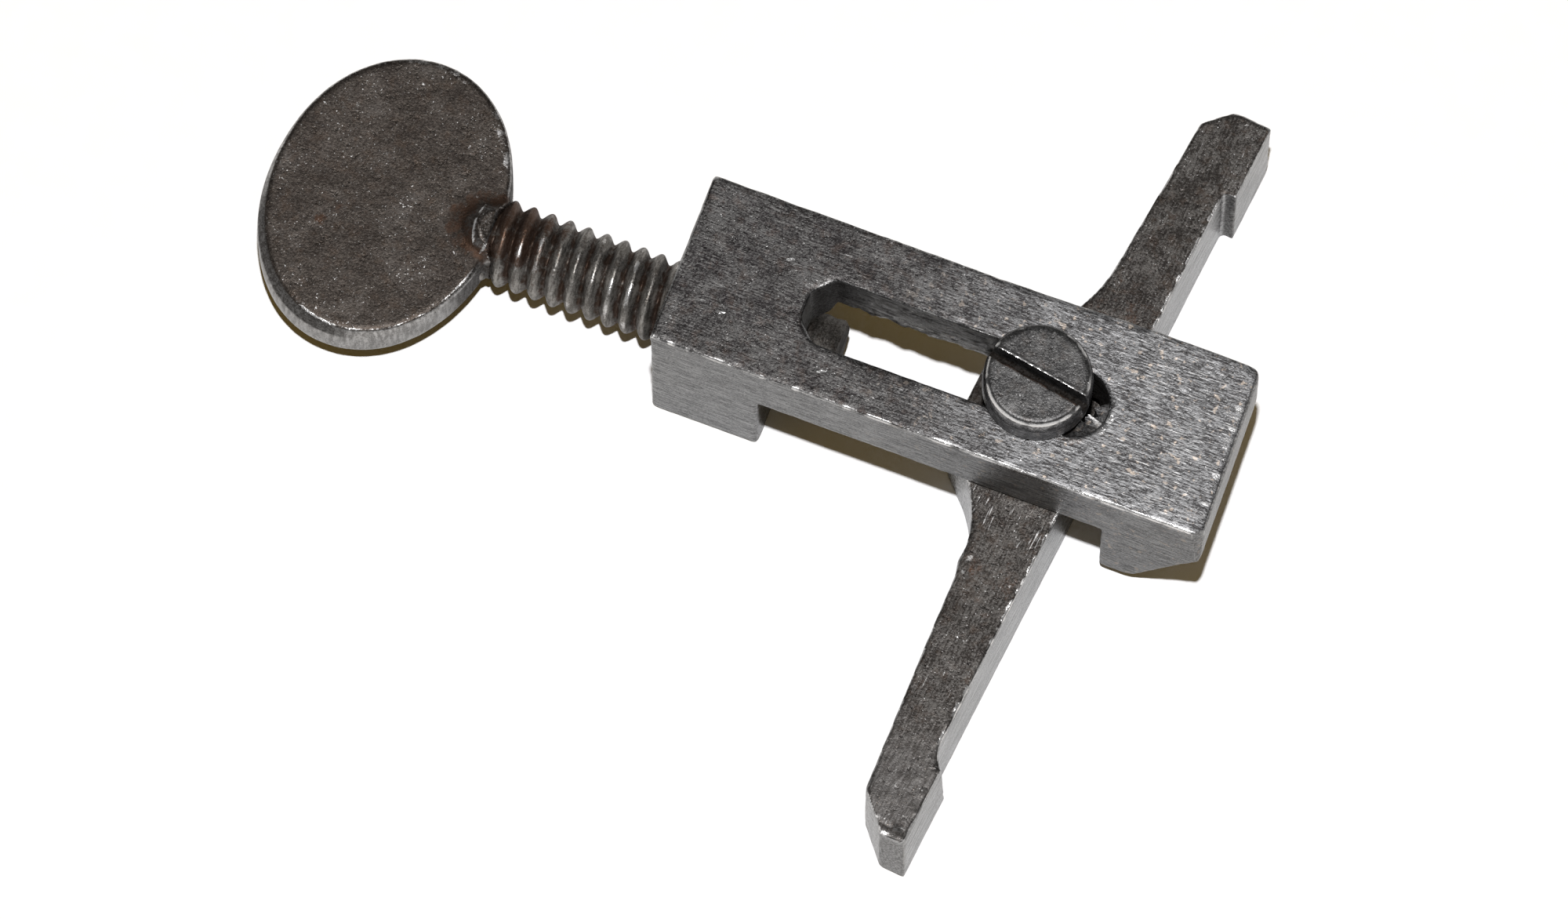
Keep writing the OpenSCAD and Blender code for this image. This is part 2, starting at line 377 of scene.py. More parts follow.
class Nodes:
    """The shader nodes of a material or a world, written as calls that pass sockets on."""

    def __init__(self, owner):
        self.owner = owner
        owner.use_nodes = True
        self.tree = owner.node_tree
        self.tree.nodes.clear()
        self.where = self.node("TexCoord")

    def node(self, kind, inputs=None, **settings):
        """A new node, its inputs each a value or a socket to link from."""
        made = self.tree.nodes.new("ShaderNode" + kind)
        for name, value in settings.items():
            setattr(made, name, value)
        for socket, value in (inputs or {}).items():
            if isinstance(value, bpy.types.NodeSocket):
                self.tree.links.new(value, made.inputs[socket])
            else:
                made.inputs[socket].default_value = value
        return made

    def mapped(self, scale, turn=0.0, vector=None):
        """Object coordinates, or a vector, turned about Z and then scaled."""
        source = vector or self.where.outputs["Object"]
        inputs = {"Vector": source, "Rotation": (0, 0, turn), "Scale": scale}
        return self.node("Mapping", inputs).outputs["Vector"]

    def noise(self, vector, scale, detail, rough):
        """Fractal noise, around a half."""
        inputs = {"Vector": vector, "Scale": scale, "Detail": detail, "Roughness": rough}
        return self.node("TexNoise", inputs).outputs["Fac"]

    def ramp(self, value, low, high, bottom=0.0, top=1.0, kind="SMOOTHSTEP"):
        """A step of a value, from bottom at low to top at high."""
        inputs = {
            "Value": value, "From Min": low, "From Max": high, "To Min": bottom, "To Max": top,
        }
        return self.node("MapRange", inputs, interpolation_type=kind).outputs["Result"]

    def weigh(self, *parts):
        """A sum of values, each with its weight."""
        total = None
        for value, weight in parts:
            term = self.math("MULTIPLY", value, weight)
            total = self.math("ADD", total, term) if total else term
        return total

    def math(self, operation, first, second):
        """One operation on two numbers, each a socket or a plain one."""
        return self.node("Math", {0: first, 1: second}, operation=operation).outputs[0]

    def mix(self, share, first, second):
        """A colour between two, each a socket or a (red, green, blue)."""
        one, other = (
            c if isinstance(c, bpy.types.NodeSocket) else (*c, 1) for c in (first, second)
        )
        return self.node("Mix", {0: share, 6: one, 7: other}, data_type="RGBA").outputs[2]

    def blend(self, share, first, second):
        """A number between two, each a socket or a plain one."""
        return self.node("Mix", {0: share, 2: first, 3: second}, data_type="FLOAT").outputs[0]

    def axis(self, vector, name):
        """One part of a vector."""
        return self.node("SeparateXYZ", {0: vector}).outputs[name]

    def steel(self, colour, rough, bumps):
        """The steel itself: bumps are (height socket, depth in millimetres), the coarsest first."""
        normal = None
        for height, depth in bumps:
            inputs = {"Height": height, "Distance": depth * MM, "Strength": 1.0}
            if normal:
                inputs["Normal"] = normal
            normal = self.node("Bump", inputs).outputs["Normal"]
        surface = self.node("BsdfPrincipled", {
            "Base Color": colour, "Roughness": rough, "Metallic": 1.0, "Normal": normal,
            "Specular Tint": EDGE_TINT,
        })
        self.node("OutputMaterial", {"Surface": surface.outputs[0]})
        return self.owner


# Bare steel, also the colour painted for highlights and glints.
BARE_STEEL_AND_GLINT = (0.68, 0.67, 0.66)
EDGE_TINT = (0.6, 0.6, 0.6, 1)
DARK_RUST = (0.05, 0.027, 0.017)
PIT = (0.03, 0.028, 0.026)
# Dark colours painted on downward faces, as shade under the pieces.
UNDERSIDE_SHADE = (0.03, 0.022, 0.015), (0.05, 0.038, 0.028)
# The warm colour of glints painted on the pale top.
WARM_GLINT = (0.7, 0.57, 0.45)
CREAM = (0.46, 0.385, 0.32)
# Dirt, also the colour painted as shade in slots and recesses.
GRIME_AND_SHADE = (0.014, 0.011, 0.009)
BUMP_DENTS, BUMP_MARKS = 0.02, 0.022
RUBBED_ROUGH, GRIMY_AND_SHADED_ROUGH = 0.2, 0.8


def stretched(streak, fine, coarse):
    """The scale of file marks, made finer across them and coarser along them."""
    return tuple(scale * fine if scale > 1 else scale * coarse for scale in streak)


def worn_steel(name, top, side, brown, streak, pale=None, turn=0.0, rust=DARK_RUST, rust_at=0.62,
               glints=0.8, rough=(0.44, 0.27), scratches=0.1, creamy=0.0):
    """Old hand-filed steel: a dark speckled top, paler sides, bright worn edges partly painted as
    highlights, bright dots painted as glints, rust, dirt, painted shade and undersides painted dark as shade.

    top, side and pale are pairs of colours, the last for where the top's patina is worn through.
    brown is a tint in patches, streak is the scale of the file marks per millimetre on each axis,
    turn is for marks that lie askew, and rough is for the top and the sides. The rest set how much
    there is of each.
    """
    s = Nodes(bpy.data.materials.new(name))
    where = s.mapped((1 / MM,) * 3, turn)
    layer = {key: s.node("Attribute", attribute_name=key).outputs["Fac"] for key in Clay.LAYERS}
    upwards = s.axis(s.where.outputs["Normal"], "Z")
    facing_up = s.ramp(upwards, 0.6, 0.9)
    facing_down = s.ramp(upwards, -0.4, -0.8)
    blotch = s.noise(where, 0.45, 5, 0.6)
    grit = s.noise(where, 6.0, 3, 0.65)
    marks = s.noise(s.mapped(streak, vector=where), 1.0, 5, 0.65)
    flecks = s.noise(s.mapped(stretched(streak, 1.5, 3), vector=where), 1.0, 3, 0.6)
    dashes = s.noise(s.mapped(stretched(streak, 1.6, 2), vector=where), 1.0, 2, 0.5)
    # The top's patina, worn through in places, and the filed and pitted sides.
    patina = s.weigh((blotch, 0.25), (grit, 0.45), (flecks, 0.3))
    tops = s.mix(s.ramp(patina, 0.42, 0.6), *top)
    tops = s.mix(s.ramp(s.noise(where, 1.1, 4, 0.6), 0.5, 0.7, 0, 0.45), tops, brown)
    metal = s.weigh((flecks, 0.55), (grit, 0.3), (blotch, 0.15))
    worn = s.mix(s.ramp(metal, 0.42, 0.59), *(pale or side))
    tops = s.mix(s.ramp(s.weigh((layer["pale"], 1.0), (blotch, 0.6)), 0.3, 1.3), tops, worn)
    sides = s.mix(s.ramp(s.weigh((marks, 0.65), (grit, 0.35)), 0.4, 0.61), *side)
    sides = s.mix(s.ramp(s.noise(where, 2.2, 4, 0.7), 0.4, 0.3, 0, 0.7), sides, PIT)
    # Faces pointing down are painted dark, as shade under the pieces.
    under = s.mix(s.ramp(blotch, 0.4, 0.6), *UNDERSIDE_SHADE)
    colour = s.mix(facing_down, s.mix(facing_up, sides, tops), under)
    # Bright dots painted as glints, and scratches; then rust, worn edges that are partly painted
    # highlights, and dirt with painted shade.
    fine = s.ramp(s.noise(where, 5.0, 2, 0.6), 0.66, 0.74, 0, 0.7)
    coarse = s.ramp(s.noise(where, 2.6, 4, 0.75), 0.64, 0.72)
    share = s.ramp(blotch, 0.4, 0.6, 0.15, glints)
    painted_glints = s.math("MULTIPLY", s.math("MAXIMUM", fine, coarse), share)
    warm = s.math("MULTIPLY", layer["pale"], s.ramp(s.noise(where, 0.8, 3, 0.6), 0.5, 0.58))
    colour = s.mix(painted_glints, colour, s.mix(warm, BARE_STEEL_AND_GLINT, WARM_GLINT))
    spots = s.ramp(s.noise(where, 1.7, 2, 0.5), 0.62, 0.7, 0, creamy)
    colour = s.mix(s.math("MULTIPLY", layer["pale"], spots), colour, CREAM)
    scratched = s.weigh((dashes, 1.0), (layer["scratch"], scratches))
    colour = s.mix(s.ramp(scratched, 0.69, 0.82, 0, 0.5), colour, BARE_STEEL_AND_GLINT)
    rusty = s.weigh((s.noise(where, 0.9, 6, 0.7), 1.0), (layer["rust"], 0.3))
    colour = s.mix(s.ramp(rusty, rust_at, rust_at + 0.2, 0, 0.8), colour, rust)
    rubbed_and_highlit = s.ramp(s.weigh((layer["wear_and_highlight"], 1.0), (grit, 0.5)), 0.62, 1.05)
    colour = s.mix(rubbed_and_highlit, colour, BARE_STEEL_AND_GLINT)
    grimy_and_shaded = s.math("MULTIPLY", layer["grime_and_shade"], s.ramp(grit, 0.3, 0.6, 1, 0.8))
    colour = s.mix(grimy_and_shaded, colour, GRIME_AND_SHADE)
    plain = s.ramp(facing_up, 0, 1, rough[1], rough[0])
    roughness = s.weigh((plain, 1.0), (grit, 0.16), (blotch, 0.12))
    roughness = s.blend(rubbed_and_highlit, s.math("SUBTRACT", roughness, 0.14), RUBBED_ROUGH)
    roughness = s.blend(grimy_and_shaded, roughness, GRIMY_AND_SHADED_ROUGH)
    dents = s.ramp(s.noise(where, 1.7, 3, 0.6), 0.3, 0.42)
    bumps = [(dents, BUMP_DENTS), (marks, BUMP_MARKS), (grit, BUMP_MARKS)]
    return s.steel(colour, roughness, bumps)


FRAME_STEEL = worn_steel(
    "frame_steel",
    top=((0.021, 0.019, 0.019), (0.096, 0.093, 0.09)),
    side=((0.085, 0.085, 0.086), (0.34, 0.34, 0.34)),
    pale=((0.048, 0.046, 0.046), (0.228, 0.227, 0.229)),
    brown=(0.062, 0.047, 0.04), streak=(0.4, 5.5, 5.5), creamy=0.6,
)
BAR_STEEL = worn_steel(
    "crossbar_steel",
    top=((0.024, 0.021, 0.019), (0.092, 0.086, 0.08)),
    side=((0.17, 0.17, 0.17), (0.58, 0.58, 0.58)),
    pale=((0.052, 0.048, 0.045), (0.096, 0.091, 0.087)),
    brown=(0.055, 0.04, 0.031), streak=(4.2, 0.3, 4.2), turn=BAR_TURN,
    rust_at=0.63, glints=1.0, scratches=0.15,
)
SCREW_STEEL = worn_steel(
    "screw_steel",
    top=((0.042, 0.041, 0.041), (0.106, 0.104, 0.102)),
    side=((0.09, 0.09, 0.093), (0.25, 0.25, 0.255)),
    brown=(0.055, 0.046, 0.04), streak=(1.4, 1.4, 1.4), glints=0.45, rough=(0.4, 0.3),
)
SHANK_STEEL = worn_steel(
    "shank_steel",
    top=((0.09, 0.083, 0.075), (0.27, 0.255, 0.235)),
    side=((0.11, 0.103, 0.094), (0.31, 0.297, 0.28)),
    brown=(0.08, 0.055, 0.04), streak=(4.0, 0.6, 0.6),
    rust=(0.066, 0.032, 0.018), rust_at=0.6, glints=0.3, rough=(0.46, 0.46),
)
PLATE_STEEL = worn_steel(
    "plate_steel",
    top=((0.029, 0.024, 0.0207), (0.067, 0.0575, 0.05)),
    side=((0.19, 0.185, 0.18), (0.42, 0.414, 0.408)),
    brown=(0.05, 0.036, 0.027), streak=(3.0, 3.0, 0.5), glints=0.9, rough=(0.46, 0.28),
)


# The frame


def shape_frame_end(body):
    """Round the frame by use and shape its end; gives how far points are past the end's facet."""
    x, y, z = body.points.T
    # Upright corners and lower edges are rounded, least at the near corner of the fixed jaw's end.
    crisp = rise(x - y, FRAME_END - FRAME_NEAR - 1.5, FRAME_END - FRAME_NEAR - 0.7)
    lower = fall(z, FRAME_TOP - 2, FRAME_TOP - 1)
    used = np.maximum(lower, rise(x, FRAME_END - 1.2, FRAME_END - 0.6))
    body.smooth(8, used * (1 - 0.9 * crisp))
    # Below its top, that corner is squared again.
    past = body.points[:, :2] - (FRAME_END - CORNER_R, FRAME_NEAR + CORNER_R)
    reach = np.hypot(*past.T) / np.maximum(np.abs(past).max(axis=1), 0.1)
    squarer = reach ** (0.95 * fall(z, FRAME_TOP - 2.2, FRAME_TOP - 0.2))
    stretch = np.where((past[:, 0] > 0) & (past[:, 1] < 0), squarer, 1)
    body.points[:, :2] += past * (stretch - 1)[:, None]
    # The end is a little out of square, and the far side flares towards it.
    body.points[:, 0] += rise(x, END_FROM, FRAME_END) * (END_OUT - END_LEAN * y)
    body.points[:, 1] += rise(y, FRAME_FAR - 2, FRAME_FAR) * FAR_SIDE_FLARE * rise(x, 18, 34)
    # A facet is filed on the corner, and narrows towards the bench.
    corner = x - FRAME_END - (y - FRAME_NEAR) + FACET - FACET_TAPER * (FRAME_TOP - z)
    filed = np.clip(corner, 0, None) / 2
    body.points[:, 0] -= filed
    body.points[:, 1] += filed
    return corner


def shape_slot(body):
    """File the slot's far wall back and tear its round end; gives what the marks need of it."""
    x, y, z = body.points.T
    length = rise(x, SLOT_LEFT - 0.4, SLOT_LEFT + 0.4)
    length *= fall(x, SLOT_ROUND_X + 2.6, SLOT_ROUND_X + 3.2)
    # The far wall is filed back towards the channel, with a ragged start.
    ragged = 0.35 * body.cloud((0.8, LONG, LONG), 11) + 0.25 * body.cloud((0.35, LONG, LONG), 16)
    start = FRAME_TOP - FILED_FROM + ragged
    far = length * rise(y, SLOT_HALF - 0.5, SLOT_HALF - 0.1)
    far *= fall(y, SLOT_HALF + 0.2, SLOT_HALF + 1.2)
    body.points[:, 1] += far * FILED_SLOPE * np.clip(start - z, 0, FILED_HEIGHT)
    chipped = far * fall(z, CHANNEL_ROOF + 0.2, CHANNEL_ROOF + 0.7)
    body.points[:, 2] += chipped * 0.5 * body.patchy(-0.1, 1, (0.9, 2, 2), 13)
    # At the round end metal hangs into the slot on the near side, below the top edge.
    away = body.points[:, :2] - (SLOT_ROUND_X, 0)
    out = np.hypot(*away.T)
    turn = np.degrees(np.arctan2(away[:, 1], away[:, 0]))
    torn = rise(out, SLOT_HALF - 0.35, SLOT_HALF - 0.15)
    torn *= fall(out, SLOT_HALF + 0.15, SLOT_HALF + 0.35)
    torn *= rise(turn, -88, -60) * fall(turn, 10, 24)
    torn *= rise(z, FRAME_TOP - 3.2, FRAME_TOP - 1.6) * fall(z, FRAME_TOP - 0.42, FRAME_TOP - 0.3)
    hanging = torn * (TEAR + 0.35 * body.cloud(0.55, 12) + 0.3 * body.cloud(0.3, 14))
    body.points[:, :2] -= (away / np.maximum(out, 1)[:, None]) * hanging[:, None]
    body.points[:, 2] += torn * 0.2 * body.cloud(0.4, 15)
    # The far wall is rough up to just under the top.
    rough = far * fall(z, FRAME_TOP - 0.8, FRAME_TOP - 0.4)
    body.points[:, 1] += rough * (0.09 * body.cloud(0.7, 17) + 0.05 * body.cloud(0.35, 18))
    return SimpleNamespace(
        length=length, start=start, far=far, rough=rough, torn=torn, out=out, turn=turn,
    )


def wear_and_highlight_frame(body, edge, on_top, corner, slot):
    """Raise a burr along the near top edge, mostly towards the fixed jaw; rub edges bright, partly as painted
    highlights and glints.
    """
    x, y, z = body.points.T
    # The burr and the rounded near edge are worn bright and painted as the edge's highlight, brighter towards the
    # fixed jaw and near the left end.
    lip = edge * on_top * fall(y, FRAME_NEAR + 0.2, FRAME_NEAR + 0.7)
    body.points[:, 2] += lip * TOP_BURR * body.patchy(0.2, 1, 0.5, 31) * rise(x, 5, 25)
    bright = 0.3 * rise(x, 8, 26) + 0.4 * hump(x, 3, 4)
    body.mark("wear_and_highlight", lip * body.patchy(0.75 + bright, 0.4, 0.6, 32, least=0.3))
    rolled = rise(z, FRAME_TOP - 0.5, FRAME_TOP - 0.3) * fall(y, FRAME_NEAR + 0.2, FRAME_NEAR + 0.4)
    body.mark("wear_and_highlight", rolled * body.patchy(0.2 + bright, 0.8, (0.7, LONG, LONG), 36))
    # A highlight is painted, with real wear, along the slot's far edge.
    far_lip_highlight = hump(y, SLOT_HALF, 0.6) * slot.length * fall(x, SLOT_ROUND_X - 2, SLOT_ROUND_X)
    body.mark("wear_and_highlight", edge * on_top * far_lip_highlight * np.clip(0.3 + 0.8 * rise(x, 10, 26), 0, 1))
    # Glints are painted on the torn metal.
    body.mark("wear_and_highlight", rise(slot.torn, 0, 0.3) * body.patchy(0.25, 0.9, 0.4, 33))
    # A highlight is painted along the far top edge.
    body.mark("wear_and_highlight", 0.85 * edge * on_top * rise(y, FRAME_FAR - 0.7, FRAME_FAR - 0.3))
    # A highlight is painted along the edge of the corner's facet.
    facet_highlight = hump(corner, 0, 0.25) * rise(x, FRAME_END - 2, FRAME_END - 1)
    body.mark("wear_and_highlight", 0.55 * facet_highlight * fall(z, FRAME_TOP - 1.1, FRAME_TOP - 0.6))
    # The rim round the slot's end is rubbed in patches, most on the near side.
    ring = on_top * fall(slot.out, SLOT_HALF + 0.55, SLOT_HALF + 0.9)
    ring *= rise(x, SLOT_ROUND_X - 1.5, SLOT_ROUND_X)
    body.layers["wear_and_highlight"] *= 1 - 0.75 * ring
    nearer = 1 - 0.6 * rise(slot.turn, -10, 30)
    body.mark("wear_and_highlight", ring * body.patchy(0.5, 0.5, 0.5, 34, most=0.8) * nearer)
    for mark_x, mark_y, length in TOP_MARKS:
        beside = y - mark_y - MARK_SLANT * (x - mark_x)
        cut = rise(hump(x, mark_x, length) * hump(beside, 0, MARK_WIDTH), 0.1, 0.6)
        body.mark("wear_and_highlight", 0.8 * on_top * cut)
    # The end's top edge is dull, with short bright file marks behind it.
    body.layers["wear_and_highlight"] *= 1 - edge * rise(x, FRAME_END - 0.6, FRAME_END - 0.2) * on_top
    from_end = FRAME_END + END_OUT - END_LEAN * y - x
    teeth = rise(body.cloud((4, 0.32, 4), 39), -0.1, 0.4)
    teeth *= fall(from_end, 0.7, 1.5) * rise(from_end, 0.1, 0.3)
    body.mark("wear_and_highlight", 0.62 * on_top * teeth)


def shade_and_soil_frame(body, on_top, slot):
    """Painted shade in the slot, darker chips along its far wall, darker along the near side, rust by the slot,
    and where the top is pale.
    """
    x, y, z = body.points.T
    # The slot's walls are painted dark as shade, most at the slot's left end, in an upper band and at its round
    # end.
    inside = fall(z, FRAME_TOP - 0.35, FRAME_TOP - 0.1) * slot.length
    inside *= band(y, 0.2, SLOT_HALF + 0.9, 0.5) * (1 - rise(slot.torn, 0, 0.3))
    upper = rise(z, FRAME_TOP - 4.4, FRAME_TOP - 3.2)
    body.mark("grime_and_shade", inside * np.maximum(0.85 * fall(x, 8, 12), 0.3 * upper))
    body.mark("grime_and_shade", inside * rise(x, SLOT_ROUND_X - 1, SLOT_ROUND_X + 1))
    # Darker chips along the far wall's ragged start and rough top.
    chips = rise(body.cloud((0.9, LONG, LONG), 35), -0.1, 0.15)
    body.mark("grime_and_shade", slot.far * hump(z, slot.start + 0.15, 0.5) * chips)
    chips = rise(body.cloud((0.7, LONG, 0.45), 37), 0.25, 0.5)
    body.mark("grime_and_shade", 0.7 * slot.rough * chips * fall(x, 20, 26))
    # Lower down, the near side is a little darker towards the fixed jaw.
    near_side = fall(y, FRAME_NEAR + 0.2, FRAME_NEAR + 0.5)
    near_side *= fall(z, FRAME_TOP - 1.2, FRAME_TOP - 0.6)
    body.mark("grime_and_shade", 0.2 * near_side * rise(x, 10, 24))
    body.mark("rust", on_top * hump(slot.out, SLOT_HALF + 0.5, 0.6) * hump(slot.turn, -75, 40))
    body.mark("scratch", on_top * rise(x, 18, 36))
    body.mark("pale", rise(x, 6, 34))


def make_frame():
    """The slotted channel frame, with a battered slot and a burr along its near top edge."""
    body = clay(solid_mesh("frame"), VOXEL["frame"])
    body.smooth(1)
    corner = shape_frame_end(body)
    slot = shape_slot(body)
    body.age(21)
    edge = body.edges()
    on_top = rise(body.points[:, 2], FRAME_TOP - 0.5, FRAME_TOP - 0.2)
    wear_and_highlight_frame(body, edge, on_top, corner, slot)
    shade_and_soil_frame(body, on_top, slot)
    return place("worn_frame", body, "frame", FRAME_STEEL, SHARP)


# The crossbar


def bar_axes(points, way):
    """Points turned into the crossbar's own axes (way 1) or back into the frame's (way -1)."""
    turn = np.array(Matrix.Rotation(BAR_TURN * way, 3, "Z"))
    middle = np.array([PIVOT[0], PIVOT[1], 0])
    return (points - middle) @ turn.T if way == 1 else points @ turn.T + middle


def shape_front_lip(bar):
    """Start the front lip on a slope and let the working face run out into it."""
    across, along, z = bar.points.T
    low = 1 - z / BAR_TOP
    on_lip = rise(across, BAR_FACE, BAR_FACE + 0.3)
    bar.points[:, 1] += on_lip * hump(along, FRONT_LIP_START, 2.2) * LIP_SLOPE * low
    up_lip = np.clip((across - BAR_FACE) / (across.max() - BAR_FACE), 0, 1)
    on_face = rise(across, BAR_FACE - 0.5, BAR_FACE - 0.1) * (1 - up_lip)
    nearness = np.clip(1 - (along - FRONT_LIP_START) / RUN_OUT_LENGTH, 0, 1)
    before_lip = nearness * rise(along, FRONT_LIP_START - 0.3, FRONT_LIP_START)
    bar.points[:, 0] += on_face * RUN_OUT * before_lip ** 2
    # Use has rounded the front arm's upper edge on that side.
    upper_edge = rise(across, BAR_FACE - 0.7, BAR_FACE - 0.2)
    upper_edge *= rise(z, BAR_TOP - 0.8, BAR_TOP - 0.2)
    bar.smooth(10, upper_edge * fall(along, -18, -12))


def hammer_front_tip(bar):
    """Spread the top of the front tip over its end, with a groove and two bright lines along it."""
    _, along, z = bar.points.T
    spread = fall(along, FRONT_TIP, FRONT_TIP + 0.5) * rise(z, BAR_TOP - 1.3, BAR_TOP - 0.2)
    bar.points[:, 1] -= spread * (TIP_SPREAD + 0.16 * bar.cloud(0.7, 51))
    end_at = along + 0.15 * bar.cloud(0.9, 50)
    groove = hump(end_at, FRONT_TIP + 0.42, 0.28) * rise(z, BAR_TOP - 0.5, BAR_TOP - 0.1)
    bar.points[:, 2] -= groove * (TIP_GROOVE + 0.08 * bar.cloud(0.7, 52))
    first, second = hump(end_at, FRONT_TIP + 0.05, 0.25), hump(end_at, FRONT_TIP + 0.9, 0.3)
    lines = np.maximum(first, 0.8 * second) * rise(z, BAR_TOP - 0.4, BAR_TOP - 0.2)
    bar.mark("wear_and_highlight", lines * bar.patchy(0.5, 0.7, 0.4, 57, most=0.7))
    bar.mark("grime_and_shade", 0.45 * groove)
    end_face = fall(along, FRONT_TIP + 0.05, FRONT_TIP + 0.25)
    bar.mark("grime_and_shade", 0.4 * end_face * fall(z, BAR_TOP - 2, BAR_TOP - 1))


def wear_and_shade_crossbar(bar):
    """Scratches and rust on top, painted shade with dirt at the hub's side, a darker back lip, and battered and
    rubbed edges.
    """
    across, along, z = bar.points.T
    # The sliding frame has scratched the hub's top, and rust sits beyond it.
    on_top = rise(z, BAR_TOP - 0.3, BAR_TOP - 0.1)
    bar.mark("scratch", 0.7 * on_top * hump(along, -8.4, 2.4))
    bar.mark("rust", 0.4 * on_top * (hump(along, -13, 6) + hump(along, 12, 7)))
    # The hub's side, under the frame, is painted dark as shade, with dirt in patches.
    hub_side = fall(across, -3.5, -2.5) * band(along, 0, 4, 1)
    bar.mark("grime_and_shade", 0.7 * hub_side * bar.patchy(0.8, 1, 0.6, 53))
    back_lip = rise(across, BAR_FACE + 0.05, BAR_FACE + 0.2) * hump(along, BACK_LIP_START, 0.35)
    bar.mark("grime_and_shade", 0.75 * back_lip)
    bar.mark("pale", fall(along, FRONT_TIP + 2, FRONT_TIP + 14))
    # The front arm's shoulder is battered, on the side away from the fixed jaw.
    shoulder = hump(along, ARM_SHOULDER, 1.6) * fall(across, 0.4, 1.2)
    shoulder *= rise(z, BAR_TOP - 2, BAR_TOP - 0.3)
    battered = shoulder * fall(across, 0.1, 0.6)
    bar.points[:, 0] -= battered * (0.12 + 0.14 * bar.cloud(0.6, 55))
    bar.mark("wear_and_highlight", shoulder * bar.patchy(0.45, 0.9, 0.5, 56))
    # The upper edge on the working side is rubbed, and burred on the front arm.
    upper = np.clip(3 * bar.edges(), 0, 1) * rise(z, BAR_TOP - 0.5, BAR_TOP - 0.3)
    upper *= rise(across, BAR_FACE - 0.8, BAR_FACE - 0.3)
    between_lips = rise(along, FRONT_LIP_START + 0.8, FRONT_LIP_START + 2)
    between_lips *= fall(along, BACK_LIP_START - 0.8, BACK_LIP_START - 0.3)
    bar.mark("wear_and_highlight", between_lips * upper * bar.patchy(0.52, 0.5, 0.5, 59))
    burr = rise(bar.cloud(0.45, 58), 0.2, 0.5) * fall(along, -13, -10)
    bar.points[:, 2] += upper * ARM_BURR * burr


def make_crossbar():
    """The swivelling jaw: a straight working face between two lips, and a burred front tip."""
    mesh = solid_mesh("crossbar")
    own = bar_axes(read(mesh.vertices, "co", 3).astype(float), 1)
    mesh.vertices.foreach_set("co", own.ravel())
    bar = clay(mesh, VOXEL["crossbar"])
    bar.smooth(1)
    shape_front_lip(bar)
    bar.age(41, nicks=0.18, rubbed_and_highlit=0.75)
    hammer_front_tip(bar)
    wear_and_shade_crossbar(bar)
    bar.points = bar_axes(bar.points, -1)
    return place("worn_crossbar", bar, "crossbar", BAR_STEEL, SHARP)


# The retaining screw


def screw_mesh():
    """The screw on its own axis, turned from a profile, with the driver's slot in its head."""
    profile = [
        (0, HEAD_TOP), (HEAD_R - 0.6, HEAD_TOP - 0.02), (HEAD_R - 0.3, HEAD_TOP - 0.1),
        (HEAD_R - 0.1, HEAD_TOP - 0.28), (HEAD_R - 0.02, HEAD_TOP - 0.55), (HEAD_R, HEAD_TOP - 1.0),
        (HEAD_R, HEAD_BOTTOM + 0.25), (HEAD_R - 0.15, HEAD_BOTTOM),
        (SHOULDER_R, HEAD_BOTTOM), (SHOULDER_R, SHOULDER_END),
        (TAIL_R, SHOULDER_END), (TAIL_R, HEAD_LOW[2]), (0, HEAD_LOW[2]),
    ]
    cutter = bmesh.new()
    bmesh.ops.create_cube(cutter, size=2)
    bmesh.ops.scale(cutter, vec=(HEAD_R + 1, DRIVER_HALF, DRIVER_DEPTH), verts=cutter.verts)
    bmesh.ops.translate(cutter, vec=(0, 0, HEAD_TOP), verts=cutter.verts)
    bmesh.ops.rotate(cutter, matrix=Matrix.Rotation(DRIVER_TURN, 3, "Z"), verts=cutter.verts)
    tool = bpy.data.objects.new("tool", from_bmesh(cutter))
    bpy.context.scene.collection.objects.link(tool)
    cut = {"object": tool, "operation": "DIFFERENCE", "solver": "EXACT"}
    mesh = with_modifier(lathe(profile), "BOOLEAN", **cut)
    bpy.data.objects.remove(tool)
    return mesh


